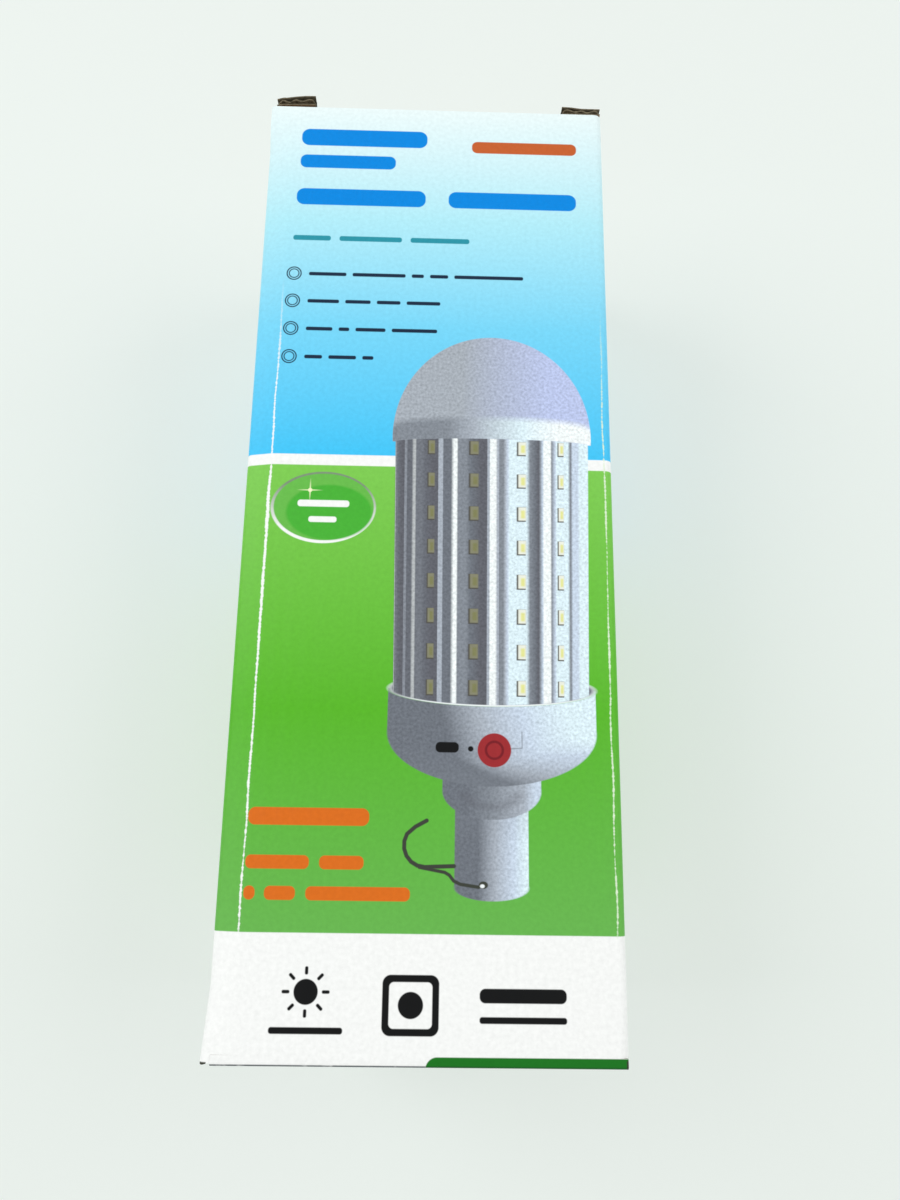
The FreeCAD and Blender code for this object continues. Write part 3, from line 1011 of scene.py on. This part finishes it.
def printed_board():
    look = Look("printed_board")
    across = look.x
    up = look.y - FRONT_MIDDLE / MM
    sky_height = (up - STRIPE_TOP) / (PANEL_TOP - STRIPE_TOP)
    sky = look.ramp(sky_height, ((0, SKY_LOW), (0.35, SKY_MIDDLE), (0.66, SKY_PALE), (1, SKY_TOP)))
    green_height = (up - GREEN_FOOT) / (STRIPE_FOOT - GREEN_FOOT)
    green = look.ramp(green_height, ((0, GREEN_LOW), (0.45, GREEN_MIDDLE), (1, GREEN_TOP)))
    fields = look.blend(look.above(up, STRIPE_FOOT), green, WHITE)
    fields = look.blend(look.above(up, STRIPE_TOP), fields, sky)
    fields = look.blend(look.below(up, GREEN_FOOT), fields, WHITE)

    art = Artwork(look, fields, across, up)
    beyond = 200
    base_field = art.box((BASE_FIELD_LEFT, -beyond), (beyond, BASE_FIELD_TOP), radius=2.2)
    art.paint(base_field * look.above(look.z, BASE_FIELD_FOOT), DARK_GREEN)
    fields = art.colour
    print_heading(art)
    print_list(art)
    print_badge(art)
    print_notes(art)
    print_footer(art)
    lamp = Artwork(look, art.colour, across - LAMP_ASIDE, up - LAMP_LIFT)
    print_lamp(lamp)
    art.colour = lamp.colour
    left_line = cracked_line(art, -34.5, slant=0.0045, high=46, width=0.17, worst=0.16)
    right_line = cracked_line(art, 38.2, slant=0, high=40, width=0.12)
    art.paint(left_line, WHITE)
    art.paint(right_line, CRACKED_PALE)
    # Painted shade along the bottom fold, and raw board at its corners
    shaded_fold_and_raw_corners(art)
    front_low = (DEPTH - MARGIN_DROP) / MM - SOFT
    colour = look.blend(look.above(look.z, front_low), fields, art.colour)
    grain = look.noise(1.1, 3) * 0.2 + 0.9
    colour = look.node("ShaderNodeHueSaturation", Value=grain, Color=colour).outputs[0]

    ripple = flute_waves(look) * 0.5 + look.noise(0.08, 2) * 2
    look.bump(ripple, 0.03 * MM)
    look.wear(BaseColor=colour, Roughness=0.4, SpecularIORLevel=0.13)
    return look.material


def kraft_paper():
    look = Look("kraft_paper")
    fibres = look.noise(1.2, 4, stretch=(1, 0.25, 1))
    colour = look.ramp(fibres, ((0.3, KRAFT_SHADE), (0.7, KRAFT_LIGHT)))
    look.bump(flute_waves(look) * 0.6 + fibres, 0.04 * MM)
    look.wear(BaseColor=colour, Roughness=0.85, SpecularIORLevel=0.2)
    return look.material


def raw_paper():
    """The grey-brown paper that shows at cut edges and between the liners."""
    look = Look("raw_paper")
    fibres = look.noise(1.5, 4)
    colour = look.ramp(fibres, ((0.3, RAW_SHADE), (0.7, RAW_LIGHT)))
    look.bump(fibres, 0.04 * MM)
    look.wear(BaseColor=colour, Roughness=0.9, SpecularIORLevel=0.2)
    return look.material


PRINT = printed_board()
KRAFT = kraft_paper()
RAW = raw_paper()


def on_line(x=None, y=None, z=None):
    """A test for points on a line along the axis that is left out."""

    def test(point):
        pairs = zip(point, (x, y, z))
        return all(place is None or near(part, place) for part, place in pairs)

    return test


def body_pieces():
    """The body's liners, and the fluting that shows at its raw edges."""
    sheet = body_sheet()
    front_low = DEPTH - MARGIN_DROP - NEAR
    flaps = [(side, end) for side in (1, -1) for end in (1, -1)]

    def on_left_fold(point):
        return point.x < -HALF + NEAR and point.z > front_low

    folds = [
        (on_left_fold, MARGIN_RADIUS, 4),
        (on_line(x=HALF, z=DEPTH), CORNER_RADIUS, 5),
        (on_line(x=-HALF, z=0), CORNER_RADIUS, 5),
        (on_line(x=HALF - BOARD, z=0), SEAM_RADIUS, 4),
        (on_line(x=-HALF + MARGIN, z=DEPTH), FALSE_CREASE_RADIUS, 2),
    ]
    folds += [(on_line(x=side * HALF, y=end * WALL_END), CREASE_RADIUS, 4) for side, end in flaps]
    outer = outer_liner(sheet, "body_print", (PRINT, RAW), folds)
    depth = BOARD - LINER
    shifts = [
        (lambda point: near(point.y, WALL_END) and point.z < front_low, (0, -depth, 0)),
        (lambda point: point.y < -WALL_END + NEAR and point.z > NEAR, (0, depth, 0)),
        (lambda point: point.x < -HALF + NEAR, (depth, 0, 0)),
        (on_line(x=HALF), (-depth, 0, 0)),
        (on_line(x=HALF - BOARD), (-depth, 0, 0)),
        (on_line(z=0), (0, 0, depth)),
        (lambda point: point.z > front_low, (0, 0, -depth)),
    ]
    inner = inner_liner(sheet, "body_kraft", (KRAFT, RAW), shifts)
    bpy.data.objects.remove(sheet)

    # Two wall ends, the seam and the dust flaps
    run = 14 * MM
    wide = WIDTH - 2 * CORNER_RADIUS
    front_end = placed((1, 0, 0), (0, 1, 0), (0, WALL_END - run / 2 - NEAR, DEPTH - BOARD / 2))
    back_end = placed((1, 0, 0), (0, 1, 0), (0, -WALL_END + run / 2 + NEAR, BOARD / 2))
    seam = placed((0, 0, 1), (0, -1, 0), (HALF - BOARD / 2, 0, SEAM_LIFT + run / 2 + PAPER))
    # The front strip's corner is cut away under the bent margin
    margin_trim = ((-wide / 2, run / 2 - MM, 0), Vector((MM - run, -MARGIN, 0)).normalized())
    strips = [
        fluting("front_end", wide, run, front_end, [margin_trim]),
        fluting("back_end", wide, run, back_end),
        fluting("seam", run, 2 * WALL_END - MM, seam),
    ]
    strips += [dust_fluting(side, end) for side, end in flaps]
    return outer, inner, joined(strips, "body_fluting")


def dust_fluting(side, end):
    """A dust flap's fluting, cut to the flap's sloping sides and rounded corners."""
    wide = DUST_HIGH - DUST_LOW
    long = DUST_LENGTH - BOARD
    half = wide / 2
    tip = long / 2
    slope = Vector((DUST_LENGTH, DUST_TAPER, 0)).normalized()
    tip_half = half - DUST_TAPER
    trims = []
    for edge in (1, -1):
        trims.append(((edge * tip_half, tip, 0), (edge * slope.x, slope.y, 0)))
        inset = DUST_ROUND * (1 - math.sqrt(0.5))
        trims.append(((edge * (tip_half - inset), tip - inset, 0), (edge, 1, 0)))
    height = (DUST_LOW + DUST_HIGH) / 2
    if end < 0:
        height = DEPTH - height
    middle = (side * (HALF - BOARD - tip), end * (WALL_END - BOARD / 2), height)
    return fluting("dust", wide, long, placed((0, 0, 1), (-side, 0, 0), middle), trims)


def lid_liners():
    """The top lid's two papers."""
    sheet = lid_sheet()

    def on_crease(point):
        is_between = abs(point.x) < EAR_START - SLIT + NEAR
        return is_between and near(point.y, LID_FACE) and near(point.z, TUCK_CREASE)

    outer = outer_liner(sheet, "top_lid_print", (PRINT, RAW), [(on_crease, CORNER_RADIUS, 5)])
    depth = BOARD - LINER
    mitre = -depth * (1 + math.sin(TUCK_LEAN)) / math.cos(TUCK_LEAN)
    shifts = [
        (lambda point: point.y < LID_FACE - NEAR, TUCK_INWARD * depth),
        (on_crease, (0, 0, mitre)),
        (on_line(y=LID_FACE), (0, -depth, 0)),
        (on_line(z=CREASE_REACH), (0, 0, INNER_REACH - CREASE_REACH)),
    ]
    inner = inner_liner(sheet, "top_lid_kraft", (KRAFT, RAW), shifts)
    bpy.data.objects.remove(sheet)
    return outer, inner


def lid_fluting():
    """The top lid's fluting: its panel, its two crushed ears and its tuck flap with rounded corners."""
    middle_y = LID_FACE - BOARD / 2
    low = BOARD
    high = EAR_EDGE - NEAR
    panel_high = TUCK_CREASE - BOARD
    edge_gap = 0.1 * MM
    panel = placed((1, 0, 0), (0, 0, 1), (0, middle_y, (low + panel_high) / 2))
    strips = [fluting("panel", 2 * LID_HALF - MM, panel_high - low, panel)]
    ear_wide = EAR_WIDTH - 2 * edge_gap
    for side in (1, -1):
        ear_middle = (side * (EAR_START + LID_HALF) / 2, middle_y, (panel_high + high) / 2)
        ear = placed((1, 0, 0), (0, 0, 1), ear_middle)
        strip = fluting("ear", ear_wide, high - panel_high, ear, height=CRUSHED, paper=2 * PAPER)
        strips.append(strip)

    first = 2.2 * MM
    long = TUCK_LENGTH - first - edge_gap
    corner = Vector((0, LID_FACE, TUCK_CREASE))
    middle = corner + TUCK_ALONG * (first + long / 2) + TUCK_INWARD * (BOARD / 2)
    trims = []
    for edge in (1, -1):
        for turn in (22.5, 45, 67.5):
            aside = math.sin(math.radians(turn))
            ahead = math.cos(math.radians(turn))
            place = (edge * (TUCK_HALF - TUCK_ROUND * (1 - aside)), long / 2 - TUCK_ROUND * (1 - ahead), 0)
            trims.append((place, (edge * aside, ahead, 0)))
    tuck = placed((1, 0, 0), TUCK_ALONG, middle)
    strips.append(fluting("tuck", 2 * TUCK_HALF - 2 * edge_gap, long, tuck, trims))
    return joined(strips, "top_lid_fluting")


def crease_papers():
    """The two papers of the top lid's crease."""
    crease = crease_sheet(0, CREASE_REACH, LID_HALF)
    folds = [(on_line(y=LID_FACE, z=0), HINGE_RADIUS, 6)]
    outer = outer_liner(crease, "top_crease_print", (PRINT, RAW), folds)
    bpy.data.objects.remove(crease)
    depth = BOARD - LINER
    crease = crease_sheet(depth, INNER_REACH, HALF - BOARD)
    folds = [(on_line(y=LID_FACE - depth, z=depth), MM, 3)]
    inner = outer_liner(crease, "top_crease_kraft", (KRAFT, KRAFT), folds)
    bpy.data.objects.remove(crease)
    return outer, inner


def wear_ears(outer, inner, core):
    """The top lid's worn ears: the left one swollen at its inner end, the right one pressed thin."""
    step = EAR_WIDTH / EAR_STEPS
    # How far the outer and the inner paper are pushed at each place, from an ear's slit outwards
    left_ear = ((1.4, 0.6), (1.35, 0.6), (1.1, 0.5), (0.7, 0.4), (0.25, 0.1))
    right_ear = ((0.3, 0), (0.2, 0), (-0.1, 0), (-0.1, 0), (-0.1, 0))
    for side, bends in ((-1, left_ear), (1, right_ear)):
        for number, (outside, inside) in enumerate(bends):
            begin = EAR_START + (number - 0.5) * step

            def on_edge(point):
                return begin < side * point.x < begin + step and point.z > TUCK_CREASE - NEAR

            for piece, shift in ((outer, outside), (inner, inside), (core, (outside + inside) / 2)):
                edit(piece)
                push(piece, on_edge, (0, shift * MM, 0))
                done()


def add_lid(pieces, body, node, hinge):
    """Set a lid's pieces a little aside and attach its papers and fluting to its body."""
    outer, inner, core, crease_outer, crease_inner = pieces
    for piece in (outer, inner, core, crease_outer):
        edit(piece)
        bpy.ops.transform.translate(value=(LID_ASIDE, 0, 0))
        done()
    for piece in (outer, inner, core):
        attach(piece, body)
    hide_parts(node)
    side = 1 if hinge.y > 0 else -1
    creases = ((crease_outer, CREASE_REACH, 0), (crease_inner, INNER_REACH, BOARD - LINER))
    for piece, reach, depth in creases:
        begin = hinge + side * Vector((0, -reach, depth))
        finish = hinge + side * Vector((0, -depth, reach))
        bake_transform(piece)


def floor():
    """A pale floor: near by half as it is lit and half its own colour, far off that alone."""
    ground = start(bpy.ops.mesh.primitive_plane_add, "floor", size=6, location=(0, 0, 0))
    look = Look("floor")
    look.wear(BaseColor=FLOOR_GREY, Roughness=0.8, SpecularIORLevel=0.3)
    distance = look.vector("LENGTH", look.place, output="Value")
    far = look.above(distance, edge=950, soft=900)
    look.glow_where_seen(far * 0.5 + 0.5, "Material Output", PALE)
    ground.data.materials.append(look.material)


def camera():
    """The view that fits the front panel's four edges."""
    place = Vector((1.507, -60.902, 183.76)) * MM + Vector((0, FRONT_MIDDLE, DEPTH))
    forward = Vector((0.01784, 0.23741, -0.97125)).normalized()
    up = Vector((-0.01875, 0.97131, 0.23708)).normalized()
    right = forward.cross(up).normalized()
    bpy.ops.object.camera_add()
    view = bpy.context.object
    view.matrix_world = Matrix.Translation(place) @ Matrix((right, up, -forward)).transposed().to_4x4()
    view.data.sensor_width = 36
    view.data.lens = 27
    view.data.clip_start = 0.01
    bpy.context.scene.camera = view


def light():
    """Soft light from all round, and a broad lamp at each side."""
    world = bpy.data.worlds.new("studio")
    bpy.context.scene.world = world
    air = Nodes(world, "Background")
    air.wear(Color=(1, 1, 1, 1), Strength=0.51)
    air.glow_where_seen(1, "World Output", PALE)
    for side, energy in ((1, 3.9), (-1, 4.8)):
        bpy.ops.object.light_add(type="AREA", location=(side * 0.75, 0.15, 0.75))
        lamp = bpy.context.object
        lamp.data.energy = energy
        lamp.data.size = 0.7
        lamp.rotation_euler = (-lamp.location).to_track_quat("-Z", "Y").to_euler()
    bpy.context.scene.view_settings.view_transform = "Standard"


body_print, body_kraft, body_core = body_pieces()
for piece in (body_print, body_kraft, body_core):
    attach(piece, "carton")
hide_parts("carton_body")

top = [*lid_liners(), lid_fluting(), *crease_papers()]
bottom = [half_turned(piece, piece.name.replace("top", "bottom")) for piece in top]
wear_ears(*top[:3])
add_lid(top, "top_flap", "top_lid", Vector((0, LID_FACE, 0)))
add_lid(bottom, "bottom_flap", "bottom_lid", Vector((0, -LID_FACE, DEPTH)))

floor()
camera()
light()
